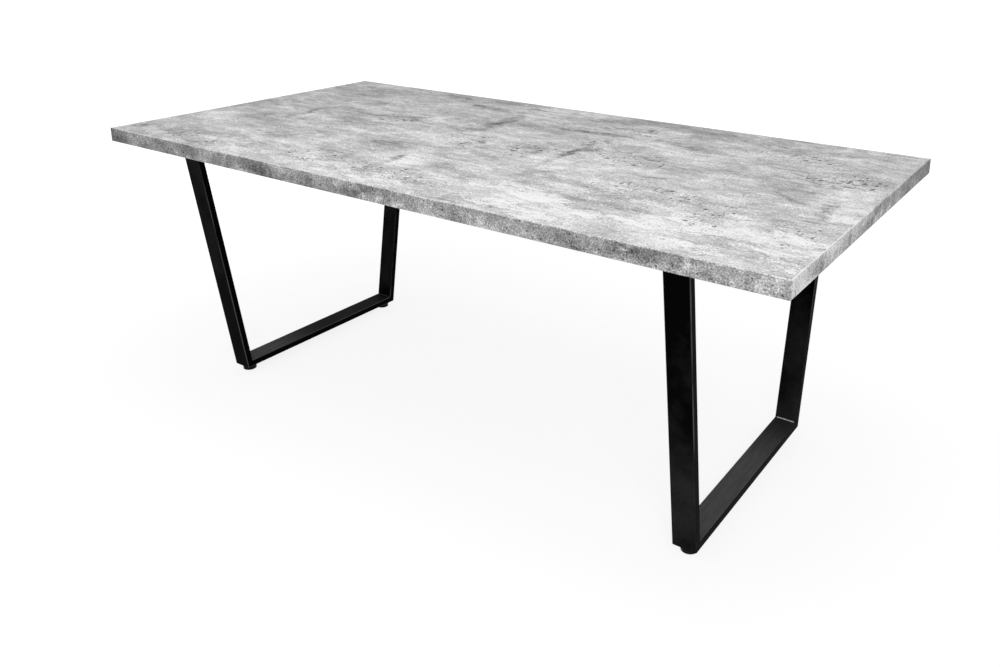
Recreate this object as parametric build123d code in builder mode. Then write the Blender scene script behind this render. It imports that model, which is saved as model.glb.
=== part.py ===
from build123d import *
import math
import os

# Dining table: a one-piece laminated top on two trapezoid frames of rectangular steel tube.
# At each end a steel bearer pulls out from under the top to carry an extension leaf.
# Millimetres, +Z up. The origin is on the floor under the middle of the top,
# +X runs along the length, -Y is the front, and the left is at -X.

# Overall sizes
table_length = 2000
table_width = 1000
table_height = 765

# Top: particle board with plastic edge bands
top_thickness = 38
band_thickness = 2
band_edge_radius = 1

# Leg frames: hollow tube, mitred and welded at the floor, each post under its own plate
frame_end_setback = 220
frame_side_setback = 75
post_inset = 108
tube_width = 60
tube_depth = 20
tube_wall = 2
tube_corner = 3
plate_length = 140
plate_width = 90
plate_thickness = 5
plate_corner = 8
plate_bolt_edge = 15

# Plate bolts and the threaded inserts that they screw into
bolt_radius = 4
bolt_head_flats = 13
bolt_head_height = 5.3
bolt_hole_clearance = 0.5
insert_wall = 2
insert_length = 16
insert_hole_spare = 4
thread_clearance = 0.1

# Levelling feet: a plastic pad turning on a threaded stud, and a rivet nut in the floor rail
foot_height = 17
foot_end_inset = 27
pad_radius = 20
pad_floor = 2
pad_top_bevel = 2.5
pad_bottom_bevel = 0.8
stud_radius = 4
stud_top_gap = 2
stud_flange_lip = 2
stud_flange_thickness = 1.7
stud_hex_flats = 13
stud_hex_height = 2.2
stud_clearance = 0.3
nut_wall = 1.5
nut_end_gap = 2
nut_flange_lip = 2.5
nut_flange_thickness = 1.2

# Pull-out bearers: two arms and a cross bar in hat-section guides
bearer_travel = 350
bearer_engagement = 300
bearer_end_setback = 40
arm_width = 15
arm_height = 30
arm_wall = 1.5
arm_corner = 2
crossbar_depth = 20
guide_length = 70
guide_wall = 2
guide_bend = 2
guide_flange = 22
guide_plate_gap = 58
slide_clearance = 0.3
push_in_clearance = 0.5
stop_lip = 3
stop_thickness = 4
plug_depth = 15
plug_clearance = 0.1
cap_thickness = 2

# Screws of the guides
screw_radius = 2
screw_length = 16
screw_head_radius = 4
screw_head_height = 2.4
screw_hole_clearance = 0.3
pilot_spare = 2

# Levels and places that follow from the sizes
underside = table_height - top_thickness
post_top = underside - plate_thickness
rail_bottom = foot_height
frame_x = table_length / 2 - frame_end_setback - tube_width / 2
post_outer_top = table_width / 2 - frame_side_setback
post_outer_bottom = post_outer_top - post_inset
lean = math.atan2(post_inset, post_top - rail_bottom)
level_cut = tube_depth / math.cos(lean)
mitre_angle = (math.pi / 2 + lean) / 2
plate_y = post_outer_top - level_cut / 2
foot_y = post_outer_bottom - foot_end_inset
bolt_spacing_x = plate_length - 2 * plate_bolt_edge
bolt_spacing_y = plate_width - 2 * plate_bolt_edge
insert_radius = bolt_radius + insert_wall

nut_radius = stud_radius + nut_wall
stud_top = rail_bottom + tube_depth - tube_wall - stud_top_gap
nut_reach = stud_top - nut_end_gap - rail_bottom
hex_top = rail_bottom - nut_flange_thickness - stud_clearance
pad_height = hex_top - stud_hex_height - stud_clearance
stud_flange_z = pad_floor + stud_clearance
stud_flange_radius = stud_radius + stud_flange_lip

guide_slot_half = arm_width / 2 + slide_clearance
guide_half_width = guide_slot_half + guide_wall + guide_flange
guide_slot_depth = arm_height + 2 * slide_clearance
arm_y = plate_y - plate_width / 2 - guide_plate_gap - guide_half_width
arm_z = underside - slide_clearance - arm_height / 2
crossbar_x = table_length / 2 - bearer_end_setback - crossbar_depth / 2
crossbar_length = 2 * arm_y + arm_width
arm_outer_x = crossbar_x - crossbar_depth / 2
arm_length = bearer_engagement + bearer_travel
arm_inner_x = arm_outer_x - arm_length
guide_outer_x = arm_outer_x - push_in_clearance - guide_length / 2
guide_inner_x = arm_inner_x + bearer_travel + guide_length / 2
screw_offset = guide_slot_half + guide_wall + guide_flange / 2
plug_gap = 2 * (arm_wall + plug_clearance)
plug_corner = arm_corner - arm_wall

SIDES = {"left": -1, "right": 1}
ROWS = {"front": -1, "back": 1}
GUIDES = {"outer": guide_outer_x, "inner": guide_inner_x}
UPWARD = (Align.CENTER, Align.CENTER, Align.MIN)
DOWNWARD = (Align.CENTER, Align.CENTER, Align.MAX)


def write(piece, name):
    piece.part.label = name
    export_step(piece.part, f"parts/{name}.step")


def tube_section(width, depth, wall, corner):
    """Draws a hollow rectangular tube's section in the sketch that is open."""
    RectangleRounded(width, depth, corner)
    RectangleRounded(width - 2 * wall, depth - 2 * wall, corner - wall, mode=Mode.SUBTRACT)


def plate_spots(side):
    """Centres of one leg frame's two plates, seen from above."""
    return [(side * frame_x, row * plate_y) for row in ROWS.values()]


def bolt_spots(side):
    """Centres of one leg frame's plate bolts, seen from above."""
    return [
        (x + dx * bolt_spacing_x / 2, y + dy * bolt_spacing_y / 2)
        for x, y in plate_spots(side)
        for dx in (-1, 1)
        for dy in (-1, 1)
    ]


def foot_spots(side):
    """Centres of one leg frame's two feet, seen from above."""
    return [(side * frame_x, row * foot_y) for row in ROWS.values()]


def screw_spots(side):
    """Centres of the guide screws at one end, seen from above: one in each flange."""
    return [
        (side * guide_x, row * arm_y + flange * screw_offset)
        for guide_x in GUIDES.values()
        for row in ROWS.values()
        for flange in (-1, 1)
    ]


def at_height(spots, z):
    return [(x, y, z) for x, y in spots]


def mitre_plane(row):
    """Plane of the mitre between a post and the floor rail, facing the post."""
    return Plane(
        origin=(0, row * post_outer_bottom, rail_bottom),
        x_dir=(1, 0, 0),
        z_dir=(0, row * math.sin(mitre_angle), math.cos(mitre_angle)),
    )


def make_top():
    all_bolts = bolt_spots(-1) + bolt_spots(1)
    all_screws = screw_spots(-1) + screw_spots(1)
    with BuildPart() as board:
        with Locations((0, 0, underside)):
            Box(
                table_length - 2 * band_thickness,
                table_width - 2 * band_thickness,
                top_thickness,
                align=UPWARD,
            )
        with Locations(*at_height(all_bolts, underside)):
            Cylinder(
                insert_radius + thread_clearance,
                insert_length + insert_hole_spare,
                align=UPWARD,
                mode=Mode.SUBTRACT,
            )
        with Locations(*at_height(all_screws, underside)):
            Cylinder(
                screw_radius + thread_clearance,
                screw_length + pilot_spare,
                align=UPWARD,
                mode=Mode.SUBTRACT,
            )
    write(board, "top_board")


def make_long_band(row_name, row):
    """Edge band along the front or back, over the full length, with its outer edges rounded."""
    with BuildPart() as band:
        with Locations((0, row * (table_width - band_thickness) / 2, underside)):
            Box(table_length, band_thickness, top_thickness, align=UPWARD)
        outer_face = band.faces().sort_by(Axis((0, 0, 0), (0, row, 0)))[-1]
        fillet(outer_face.edges(), band_edge_radius)
    write(band, f"{row_name}_edge_band")


def make_end_band(side_name, side):
    """Edge band across one end, between the two long bands."""
    with BuildPart() as band:
        with Locations((side * (table_length - band_thickness) / 2, 0, underside)):
            Box(band_thickness, table_width - 2 * band_thickness, top_thickness, align=UPWARD)
        outer_face = band.faces().sort_by(Axis((0, 0, 0), (side, 0, 0)))[-1]
        fillet(outer_face.edges().filter_by(Axis.Y), band_edge_radius)
    write(band, f"{side_name}_edge_band")


def make_post(side_name, side, row_name, row):
    """Leaning post: cut level under its plate and mitred to the floor rail."""
    height = post_top - rail_bottom
    middle = Plane(
        origin=(side * frame_x, row * (plate_y - post_inset / 2), rail_bottom + height / 2),
        x_dir=(1, 0, 0),
        z_dir=(0, row * math.sin(lean), math.cos(lean)),
    )
    with BuildPart() as post:
        with BuildSketch(middle):
            tube_section(tube_width, tube_depth, tube_wall, tube_corner)
        extrude(amount=height, both=True)
        split(bisect_by=Plane.XY.offset(post_top), keep=Keep.BOTTOM)
        split(bisect_by=mitre_plane(row), keep=Keep.TOP)
    write(post, f"{side_name}_{row_name}_post")


def make_rail(side_name, side):
    """Floor rail, mitred at both ends, with a hole under each end for the rivet nut."""
    middle = Plane(
        origin=(side * frame_x, 0, rail_bottom + tube_depth / 2),
        x_dir=(1, 0, 0),
        z_dir=(0, 1, 0),
    )
    with BuildPart() as rail:
        with BuildSketch(middle):
            tube_section(tube_width, tube_depth, tube_wall, tube_corner)
        extrude(amount=post_outer_bottom, both=True)
        for row in ROWS.values():
            split(bisect_by=mitre_plane(row), keep=Keep.BOTTOM)
        with Locations(*at_height(foot_spots(side), rail_bottom)):
            Cylinder(nut_radius + thread_clearance, tube_wall, align=UPWARD, mode=Mode.SUBTRACT)
    write(rail, f"{side_name}_floor_rail")


def make_plate(side_name, side, row_name, row):
    spot = (side * frame_x, row * plate_y)
    with BuildPart() as plate:
        with BuildSketch(Plane.XY.offset(post_top)):
            with Locations(spot):
                RectangleRounded(plate_length, plate_width, plate_corner)
                with GridLocations(bolt_spacing_x, bolt_spacing_y, 2, 2):
                    Circle(bolt_radius + bolt_hole_clearance, mode=Mode.SUBTRACT)
        extrude(amount=plate_thickness)
    write(plate, f"{side_name}_{row_name}_leg_plate")


def make_leg_fasteners(side_name, side):
    with BuildPart() as bolts:
        with Locations(*at_height(bolt_spots(side), post_top)):
            Cylinder(bolt_radius, plate_thickness + insert_length, align=UPWARD)
        with BuildSketch(Plane.XY.offset(post_top)):
            with Locations(*bolt_spots(side)):
                RegularPolygon(bolt_head_flats / 2, 6, major_radius=False)
        extrude(amount=-bolt_head_height)
    write(bolts, f"{side_name}_leg_bolts")

    with BuildPart() as inserts:
        with Locations(*at_height(bolt_spots(side), underside)):
            Cylinder(insert_radius, insert_length, align=UPWARD)
            Cylinder(
                bolt_radius + thread_clearance,
                insert_length,
                align=UPWARD,
                mode=Mode.SUBTRACT,
            )
    write(inserts, f"{side_name}_threaded_inserts")


def make_foot(side_name, side, row_name, row):
    x, y = side * frame_x, row * foot_y
    foot_name = f"{side_name}_{row_name}_foot"
    pocket_height = stud_flange_thickness + 2 * stud_clearance
    with BuildPart() as pad:
        with Locations((x, y, 0)):
            Cylinder(pad_radius, pad_height, align=UPWARD)
        chamfer(pad.faces().sort_by(Axis.Z)[-1].edges(), pad_top_bevel)
        chamfer(pad.faces().sort_by(Axis.Z)[0].edges(), pad_bottom_bevel)
        with Locations((x, y, pad_floor)):
            Cylinder(
                stud_flange_radius + stud_clearance,
                pocket_height,
                align=UPWARD,
                mode=Mode.SUBTRACT,
            )
            Cylinder(stud_radius + stud_clearance, pad_height, align=UPWARD, mode=Mode.SUBTRACT)
    write(pad, f"{foot_name}_pad")

    shank_bottom = stud_flange_z + stud_flange_thickness
    with BuildPart() as stud:
        with Locations((x, y, stud_flange_z)):
            Cylinder(stud_flange_radius, stud_flange_thickness, align=UPWARD)
        with Locations((x, y, shank_bottom)):
            Cylinder(stud_radius, stud_top - shank_bottom, align=UPWARD)
        with BuildSketch(Plane.XY.offset(hex_top)):
            with Locations((x, y)):
                RegularPolygon(stud_hex_flats / 2, 6, major_radius=False)
        extrude(amount=-stud_hex_height)
    write(stud, f"{foot_name}_stud")


def make_foot_nuts(side_name, side):
    """Rivet nuts: a thin flange under the floor rail and a threaded sleeve inside it."""
    with BuildPart() as nuts:
        with Locations(*at_height(foot_spots(side), rail_bottom)):
            Cylinder(nut_radius, nut_reach, align=UPWARD)
            Cylinder(nut_radius + nut_flange_lip, nut_flange_thickness, align=DOWNWARD)
        with Locations(*at_height(foot_spots(side), rail_bottom - nut_flange_thickness)):
            Cylinder(
                stud_radius + thread_clearance,
                nut_flange_thickness + nut_reach,
                align=UPWARD,
                mode=Mode.SUBTRACT,
            )
    write(nuts, f"{side_name}_foot_nuts")


def make_guide(side_name, side, row_name, row, place_name, place_x):
    """Hat-section guide, folded from sheet, that holds a bearer arm up against the top."""
    start = Plane.YZ.offset(side * place_x - guide_length / 2)
    wall_middle = guide_slot_half + guide_wall / 2
    flange_level = underside - guide_wall / 2
    floor_level = underside - guide_slot_depth - guide_wall / 2
    centre = row * arm_y
    with BuildPart() as guide:
        with BuildSketch(start):
            with BuildLine():
                FilletPolyline(
                    (centre - guide_half_width, flange_level),
                    (centre - wall_middle, flange_level),
                    (centre - wall_middle, floor_level),
                    (centre + wall_middle, floor_level),
                    (centre + wall_middle, flange_level),
                    (centre + guide_half_width, flange_level),
                    radius=guide_bend,
                )
            trace(line_width=guide_wall)
        extrude(amount=guide_length)
        holes = [(side * place_x, centre + flange * screw_offset) for flange in (-1, 1)]
        with Locations(*at_height(holes, underside)):
            Cylinder(
                screw_radius + screw_hole_clearance,
                guide_wall,
                align=DOWNWARD,
                mode=Mode.SUBTRACT,
            )
    write(guide, f"{side_name}_{row_name}_{place_name}_guide")


def make_guide_screws(side_name, side):
    with BuildPart() as screws:
        with Locations(*at_height(screw_spots(side), underside - guide_wall)):
            Cylinder(screw_radius, guide_wall + screw_length, align=UPWARD)
            Cylinder(screw_head_radius, screw_head_height, align=DOWNWARD)
    write(screws, f"{side_name}_guide_screws")


def make_arm(side_name, side, row_name, row):
    """Bearer arm, and the plug that closes its inner end and stops it at the inner guide."""
    inward = -side
    outer_end = Plane(
        origin=(side * arm_outer_x, row * arm_y, arm_z),
        x_dir=(0, 1, 0),
        z_dir=(inward, 0, 0),
    )
    with BuildPart() as arm:
        with BuildSketch(outer_end):
            tube_section(arm_width, arm_height, arm_wall, arm_corner)
        extrude(amount=arm_length)
    write(arm, f"{side_name}_{row_name}_bearer_arm")

    with BuildPart() as stop:
        with BuildSketch(outer_end.offset(arm_length)):
            RectangleRounded(arm_width + 2 * stop_lip, arm_height, arm_corner)
        extrude(amount=stop_thickness)
        with BuildSketch(outer_end.offset(arm_length)):
            RectangleRounded(arm_width - plug_gap, arm_height - plug_gap, plug_corner)
        extrude(amount=-plug_depth)
    write(stop, f"{side_name}_{row_name}_arm_stop")


def make_crossbar(side_name, side):
    """Cross bar between the arms' outer ends, which is also the pull, and its end caps."""
    middle = Plane(origin=(side * crossbar_x, 0, arm_z), x_dir=(1, 0, 0), z_dir=(0, 1, 0))
    with BuildPart() as bar:
        with BuildSketch(middle):
            tube_section(crossbar_depth, arm_height, arm_wall, arm_corner)
        extrude(amount=crossbar_length / 2, both=True)
    write(bar, f"{side_name}_crossbar")

    with BuildPart() as caps:
        for row in ROWS.values():
            bar_end = Plane(
                origin=(side * crossbar_x, row * crossbar_length / 2, arm_z),
                x_dir=(1, 0, 0),
                z_dir=(0, row, 0),
            )
            with BuildSketch(bar_end):
                RectangleRounded(crossbar_depth, arm_height, arm_corner)
            extrude(amount=cap_thickness)
            with BuildSketch(bar_end):
                RectangleRounded(crossbar_depth - plug_gap, arm_height - plug_gap, plug_corner)
            extrude(amount=-plug_depth)
    write(caps, f"{side_name}_crossbar_caps")


os.makedirs("parts", exist_ok=True)
make_top()
for row_name, row in ROWS.items():
    make_long_band(row_name, row)
for side_name, side in SIDES.items():
    make_end_band(side_name, side)
    make_rail(side_name, side)
    make_leg_fasteners(side_name, side)
    make_foot_nuts(side_name, side)
    make_guide_screws(side_name, side)
    make_crossbar(side_name, side)
    for row_name, row in ROWS.items():
        make_post(side_name, side, row_name, row)
        make_plate(side_name, side, row_name, row)
        make_foot(side_name, side, row_name, row)
        make_arm(side_name, side, row_name, row)
        for place_name, place_x in GUIDES.items():
            make_guide(side_name, side, row_name, row, place_name, place_x)
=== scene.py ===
"""Looks of an extendable dining table: finishes, fasteners, welds and feet around its CAD frame."""
import math

import bmesh
import bpy
from bpy.props import FloatProperty, FloatVectorProperty, PointerProperty
from mathutils import Matrix, Vector


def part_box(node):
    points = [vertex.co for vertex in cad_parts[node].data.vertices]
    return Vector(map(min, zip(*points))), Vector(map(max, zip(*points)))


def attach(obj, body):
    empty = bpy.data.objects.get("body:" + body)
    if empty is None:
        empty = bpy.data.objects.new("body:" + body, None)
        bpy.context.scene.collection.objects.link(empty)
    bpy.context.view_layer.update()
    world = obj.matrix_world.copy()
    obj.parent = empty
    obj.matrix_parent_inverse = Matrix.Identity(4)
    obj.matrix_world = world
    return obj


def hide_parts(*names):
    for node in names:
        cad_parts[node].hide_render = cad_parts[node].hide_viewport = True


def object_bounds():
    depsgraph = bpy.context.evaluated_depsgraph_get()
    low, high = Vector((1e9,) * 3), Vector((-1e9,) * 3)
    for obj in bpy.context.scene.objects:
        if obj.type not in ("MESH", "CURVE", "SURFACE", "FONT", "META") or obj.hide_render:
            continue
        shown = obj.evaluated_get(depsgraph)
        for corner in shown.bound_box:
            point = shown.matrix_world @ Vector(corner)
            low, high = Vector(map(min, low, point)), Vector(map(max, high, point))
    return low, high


bl_info = {
    "name": "Extendable Dining Table",
    "version": (1, 0, 0),
    "blender": (4, 5, 0),
    "location": "3D View > Sidebar > Table",
    "description": "Finishes, fasteners, welds and feet of a concrete-look table on steel frames",
    "category": "Object",
}

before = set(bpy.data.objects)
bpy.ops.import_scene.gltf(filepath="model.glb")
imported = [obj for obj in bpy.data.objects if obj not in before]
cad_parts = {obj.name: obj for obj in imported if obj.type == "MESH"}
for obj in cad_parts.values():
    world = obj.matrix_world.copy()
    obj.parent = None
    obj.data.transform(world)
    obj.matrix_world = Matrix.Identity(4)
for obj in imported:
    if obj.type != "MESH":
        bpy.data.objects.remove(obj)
CAD_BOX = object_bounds()
MM = 0.001
SIDES = ("left", "right")
ROWS = ("front", "back")
LEGS = [f"{side}_{row}" for side in SIDES for row in ROWS]
GUIDES = ("outer", "inner")


def linear(hex_colour):
    """Linear RGBA of an sRGB hex colour."""
    levels = [int(hex_colour[i : i + 2], 16) / 255 for i in (1, 3, 5)]
    return (*[c / 12.92 if c <= 0.04045 else ((c + 0.055) / 1.055) ** 2.4 for c in levels], 1.0)


WHITE = linear("#FFFFFF")


def shade(name, description, hex_colour):
    """A colour property whose default is an sRGB hex value."""
    colour = linear(hex_colour)
    return FloatVectorProperty(
        name=name, description=description, default=colour, subtype="COLOR", size=4, min=0, max=1
    )


def length(name, description, millimetres):
    """A length property whose default is in millimetres."""
    return FloatProperty(
        name=name, description=description, default=millimetres * MM, unit="LENGTH", precision=5, min=0
    )


def share(name, description, default):
    """A property between 0 and 1."""
    return FloatProperty(
        name=name, description=description, default=default, subtype="FACTOR", min=0, max=1
    )


def measure(name, description, default, subtype):
    """Any other number, with its kind of unit."""
    return FloatProperty(name=name, description=description, default=default, subtype=subtype)


def vector(name, description, default, subtype):
    """A place or a shift, with its kind of unit."""
    size = len(default)
    return FloatVectorProperty(
        name=name, description=description, default=default, subtype=subtype, size=size
    )


# Settings that a user would change


class DecorSettings(bpy.types.PropertyGroup):
    """The printed concrete decor of the top and its edge bands."""

    top_grey: share("Top Grey", "Mean grey of the top's print, on the sRGB scale", 0.804)
    edge_grey: share("Edge Grey", "Mean grey of the edge bands' print, on the sRGB scale", 0.66)
    # Painted light: the print is painted paler towards the front and towards the right
    painted_front_light: share("Painted Front Light", "How much paler the print is at the front than at the back", 0.12)
    painted_right_light: share("Painted Right Light", "How much paler the print is at the right than at the left", 0.06)
    cloud_size: length("Cloud Size", "Breadth of the soft grey clouds", 130)
    streak_width: length("Streak Width", "Breadth of the trowel streaks along the table", 26)
    wisp_size: length("Wisp Size", "Breadth of the chalky wisps near the front", 42)
    pit_spacing: length("Pit Spacing", "Distance between the printed air holes", 30)
    speck_size: length("Speck Size", "Breadth of the sand specks on the edges", 3.6)
    # A painted highlight: the pale line along the bands' rounded top edges
    highlight_width: length("Highlight Width", "Height of the pale line along the bands' scraped edges", 1.6)
    backing: shade("Backing", "Plain foil under the top", "#ADADAA")
    backing_shade: shade("Backing Shade", "Faint clouds in the foil under the top", "#9E9E9B")


class SteelSettings(bpy.types.PropertyGroup):
    """Powder coated steel and its welds."""

    coat: shade("Powder Coat", "Colour of the powder coat", "#030303")
    # Dusty patches that also stand for a painted sheen, then a painted highlight along the tube corners
    # and a painted sheen on the rails' upper faces
    dust_and_sheen: shade("Dust And Sheen", "Colour of the powder coat where dust dulls it", "#2E2E2E")
    highlit: shade("Highlit Corners", "Colour of the powder coat where corners are rubbed", "#565655")
    rail_sheen: shade("Rail Sheen", "Colour of the powder coat where shoes scuff it", "#636363")
    # Painted highlight: the pale colour of the mitre weld beads on the right frame
    weld: shade("Weld Highlight", "Colour of a weld that the powder coat hardly covers", "#B4B4B1")
    grit: length("Grit", "Breadth of the powder coat's orange peel", 2.2)
    bead_radius: length("Bead Radius", "Radius of the weld beads round the plates", 2.2)
    mitre_bead: length("Mitre Bead", "Radius of the weld beads in the frames' inner corners", 2.5)
    bead_ripple: length("Bead Ripple", "Distance between the ripples of a weld bead", 2.6)
    tube_corner: length("Tube Corner", "Outer corner radius of the leg tube", 3)


class HardwareSettings(bpy.types.PropertyGroup):
    """Zinc plated bolts, screws, inserts and nuts."""

    zinc: shade("Zinc", "Colour of the zinc plating", "#BFC2C4")
    bolt_radius: length("Bolt Radius", "Radius of a plate bolt's shank", 4)
    bolt_flats: length("Bolt Flats", "Width of a bolt's head across its flats", 13)
    bolt_flange: length("Bolt Flange", "Radius of the flange under a bolt's head", 8.4)
    flange_height: length("Flange Height", "Height of the flange under a bolt's head", 1.4)
    bolt_edge: length("Bolt Edge", "Distance of a bolt from the edge of its plate", 15)
    screw_radius: length("Screw Radius", "Radius of a guide screw's shank", 2)
    screw_head: length("Screw Head", "Radius of a guide screw's head", 4)
    guide_flange: length("Guide Flange", "Breadth of a guide's flange", 22)
    guide_wall: length("Guide Wall", "Thickness of a guide's sheet", 2)


class FootSettings(bpy.types.PropertyGroup):
    """Levelling feet and plastic plugs."""

    pad: shade("Pad", "Colour of the foot pads", "#050505")
    plug: shade("Plug", "Colour of the plugs and caps", "#111111")
    pad_rim: length("Pad Rim", "Rounding of a pad's upper rim", 2.6)
    stud_radius: length("Stud Radius", "Outer radius of a stud's thread", 4)
    stud_flange: length("Stud Flange", "Radius of a stud's flange inside its pad", 6)
    thread_pitch: length("Thread Pitch", "Rise of a stud's thread in one turn", 1.25)
    thread_depth: length("Thread Depth", "Depth of a stud's thread", 0.7)
    clearance: length("Clearance", "Gap between a stud and its pad", 0.3)
    stop_gap: length("Stop Gap", "Gap that an arm's plug leaves to its guide when it is all out", 0.2)


class StageSettings(bpy.types.PropertyGroup):
    """Camera, light and floor."""

    eye: vector("Eye", "Place of the camera", (1.46, -1.895, 1.3315), "TRANSLATION")
    yaw: measure("Yaw", "Turn of the camera to the left", 0.597, "ANGLE")
    pitch: measure("Pitch", "Tilt of the camera", -0.2722, "ANGLE")
    roll: measure("Roll", "Roll of the camera", 0.0065, "ANGLE")
    lens: measure("Lens", "Focal length in millimetres", 32.84, "DISTANCE_CAMERA")
    shift: vector("Shift", "Lens shift, as a share of the frame's width", (-0.0494, -0.155), "XYZ")
    floor: shade("Floor", "Colour of the floor", "#F0F0F0")
    sky_light: share("Sky Light", "Strength of the light from all round", 0.42)
    softbox_power: measure("Softbox Power", "Power of the overhead softbox", 36, "POWER")
    key_power: measure("Key Power", "Power of the softbox at the front right", 34, "POWER")


class TableSettings(bpy.types.PropertyGroup):
    """All settings of the table's looks."""

    decor: PointerProperty(type=DecorSettings)
    steel: PointerProperty(type=SteelSettings)
    hardware: PointerProperty(type=HardwareSettings)
    feet: PointerProperty(type=FootSettings)
    stage: PointerProperty(type=StageSettings)


# Shared helpers

# Kinds of nodes that are used often
MATH = "ShaderNodeMath"
RANGE = "ShaderNodeMapRange"
NOISE = "ShaderNodeTexNoise"
MIX = "ShaderNodeMix"
BUMP = "ShaderNodeBump"
MAPPING = "ShaderNodeMapping"
COORDINATES = "ShaderNodeTexCoord"
AXES = "ShaderNodeSeparateXYZ"
VECTOR = "ShaderNodeCombineXYZ"
VECTOR_MATH = "ShaderNodeVectorMath"
CONE = "GeometryNodeMeshCone"
TRANSFORM = "GeometryNodeTransform"
BOOLEAN = "GeometryNodeMeshBoolean"

# Points closer than this are one point: in a shape made here, and in a CAD node's loose triangles
SAME_POINT = 0.001 * MM
SAME_CAD_POINT = 0.01 * MM


def wire(tree, node, inputs):
    """Sets or links a node's inputs, given by name or in order. A node that is given is linked by its
    first output in use, and a list is linked piece by piece to one input."""
    for key, given in inputs.items() if isinstance(inputs, dict) else enumerate(inputs):
        for value in given if isinstance(given, list) else [given]:
            if isinstance(value, bpy.types.Node):
                value = next(output for output in value.outputs if output.enabled)
            if isinstance(value, bpy.types.NodeSocket):
                tree.links.new(value, node.inputs[key])
            else:
                node.inputs[key].default_value = value


def add(tree, kind, inputs=(), **settings):
    """Adds a node, makes its settings, and sets or links its inputs."""
    made = tree.nodes.new(kind)
    for name, value in settings.items():
        setattr(made, name, value)
    wire(tree, made, inputs)
    return made


def new_finish(name):
    """A new material with its node tree, its shader and the piece's own coordinates."""
    made = bpy.data.materials.new(name)
    made.use_nodes = True
    tree = made.node_tree
    return made, tree, tree.nodes["Principled BSDF"], add(tree, COORDINATES).outputs["Object"]


def coat_nodes(finish, *names):
    """Gives CAD nodes a finish in their own material slots."""
    for name in names:
        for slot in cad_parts[name].material_slots:
            slot.material = finish


def place(name, mesh, body, slot, *replaced):
    """Puts a finished mesh on its body, in place of the CAD nodes that it replaces."""
    piece = bpy.data.objects.new(name, mesh)
    bpy.context.scene.collection.objects.link(piece)
    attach(piece, body)
    if replaced:
        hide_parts(*replaced)


def to_mesh(shape, name, finish, crease=math.radians(35)):
    """Turns a bmesh into a mesh with outward faces, smooth up to the crease angle."""
    bmesh.ops.remove_doubles(shape, verts=shape.verts, dist=SAME_POINT)
    bmesh.ops.recalc_face_normals(shape, faces=shape.faces)
    mesh = bpy.data.meshes.new(name)
    shape.to_mesh(mesh)
    shape.free()
    mesh.shade_smooth()
    mesh.set_sharp_from_angle(angle=crease)
    mesh.materials.append(finish)
    return mesh


def tree_inputs(name, sizes):
    """A geometry node tree with a geometry input, one length input per size and a material input."""
    tree = bpy.data.node_groups.new(name, "GeometryNodeTree")
    face = tree.interface
    face.new_socket("Geometry", in_out="INPUT", socket_type="NodeSocketGeometry")
    for size in sizes:
        face.new_socket(size, in_out="INPUT", socket_type="NodeSocketFloat")
    face.new_socket("Material", in_out="INPUT", socket_type="NodeSocketMaterial")
    face.new_socket("Geometry", in_out="OUTPUT", socket_type="NodeSocketGeometry")
    return tree, add(tree, "NodeGroupInput").outputs


def tree_result(tree, geometry, finish):
    """Ends a tree in real geometry with its material."""
    real = add(tree, "GeometryNodeRealizeInstances", (geometry,))
    painted = add(tree, "GeometryNodeSetMaterial", {"Geometry": real, "Material": finish})
    add(tree, "NodeGroupOutput", (painted,))


def grow(tree, mesh, values):
    """Runs a tree on a mesh, with its inputs set by name, and returns the plain mesh that it makes."""
    carrier = bpy.data.objects.new(mesh.name, mesh)
    bpy.context.scene.collection.objects.link(carrier)
    modifier = carrier.modifiers.new(tree.name, "NODES")
    modifier.node_group = tree
    for item in tree.interface.items_tree:
        if item.in_out == "INPUT" and item.name in values:
            modifier[item.identifier] = values[item.name]
    evaluated = carrier.evaluated_get(bpy.context.evaluated_depsgraph_get())
    made = bpy.data.meshes.new_from_object(evaluated)
    bpy.data.objects.remove(carrier)
    return made


def middle_of(node):
    """Middle of a CAD node's box."""
    low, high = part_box(node)
    return (low + high) / 2


# Finishes

# Soft smears of the print: middle x and y, half length, half breadth (mm), turn (degrees), change of grey
SMEARS = (
    (-140, 195, 30, 150, 0, -0.15),
    (-330, 370, 160, 26, -8, -0.13),
    (120, 252, 160, 24, 0, -0.15),
    (222, 20, 22, 160, 0, -0.20),
    (140, -30, 45, 70, 15, -0.10),
    (490, 240, 130, 34, -4, -0.11),
    (-470, 72, 340, 15, 0, -0.10),
    (-724, -20, 26, 90, 0, -0.17),
    (-790, 0, 80, 16, -40, -0.12),
    (920, -90, 26, 80, 0, -0.18),
    (830, -50, 90, 14, -35, -0.13),
    (-100, -285, 18, 60, 5, -0.19),
    (-950, -410, 70, 70, 0, -0.16),
    (-560, -370, 240, 40, 3, -0.10),
    (-400, 112, 60, 28, 25, -0.12),
    (500, -312, 200, 24, -2, -0.13),
    (-230, -190, 110, 80, 0, -0.08),
    (560, 400, 300, 60, 0, -0.05),
    (480, -380, 320, 100, 0, 0.08),
    (-50, -310, 60, 60, 20, 0.12),
    (800, -460, 180, 40, 0, 0.08),
    (-480, -340, 160, 50, 5, 0.06),
    (810, 470, 30, 50, 0, 0.10),
    (120, -460, 200, 40, 0, 0.05),
    (-850, -480, 160, 22, 0, -0.12),
)

# Blotches of the edge bands: place along the band, height over its middle, and the rest as above
BLOTCHES = (
    (-985, 5, 75, 60, 0, -0.22),
    (-925, -1, 26, 2.5, 65, -0.30),
    (-767, 6, 28, 26, 0, -0.13),
    (-620, 6, 50, 16, 0, -0.10),
    (-460, 9, 40, 18, 0, -0.14),
    (-350, -5, 90, 28, -6, -0.27),
    (-170, 2, 20, 10, 0, -0.14),
    (-25, -6, 65, 24, 0, -0.14),
    (340, -12, 70, 30, 0, 0.14),
    (555, -3, 60, 26, 0, -0.09),
    (690, 1, 75, 28, 0, -0.23),
    (810, 1, 24, 14, 0, 0.16),
    (950, -5, 60, 36, 0, 0.10),
)

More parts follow.
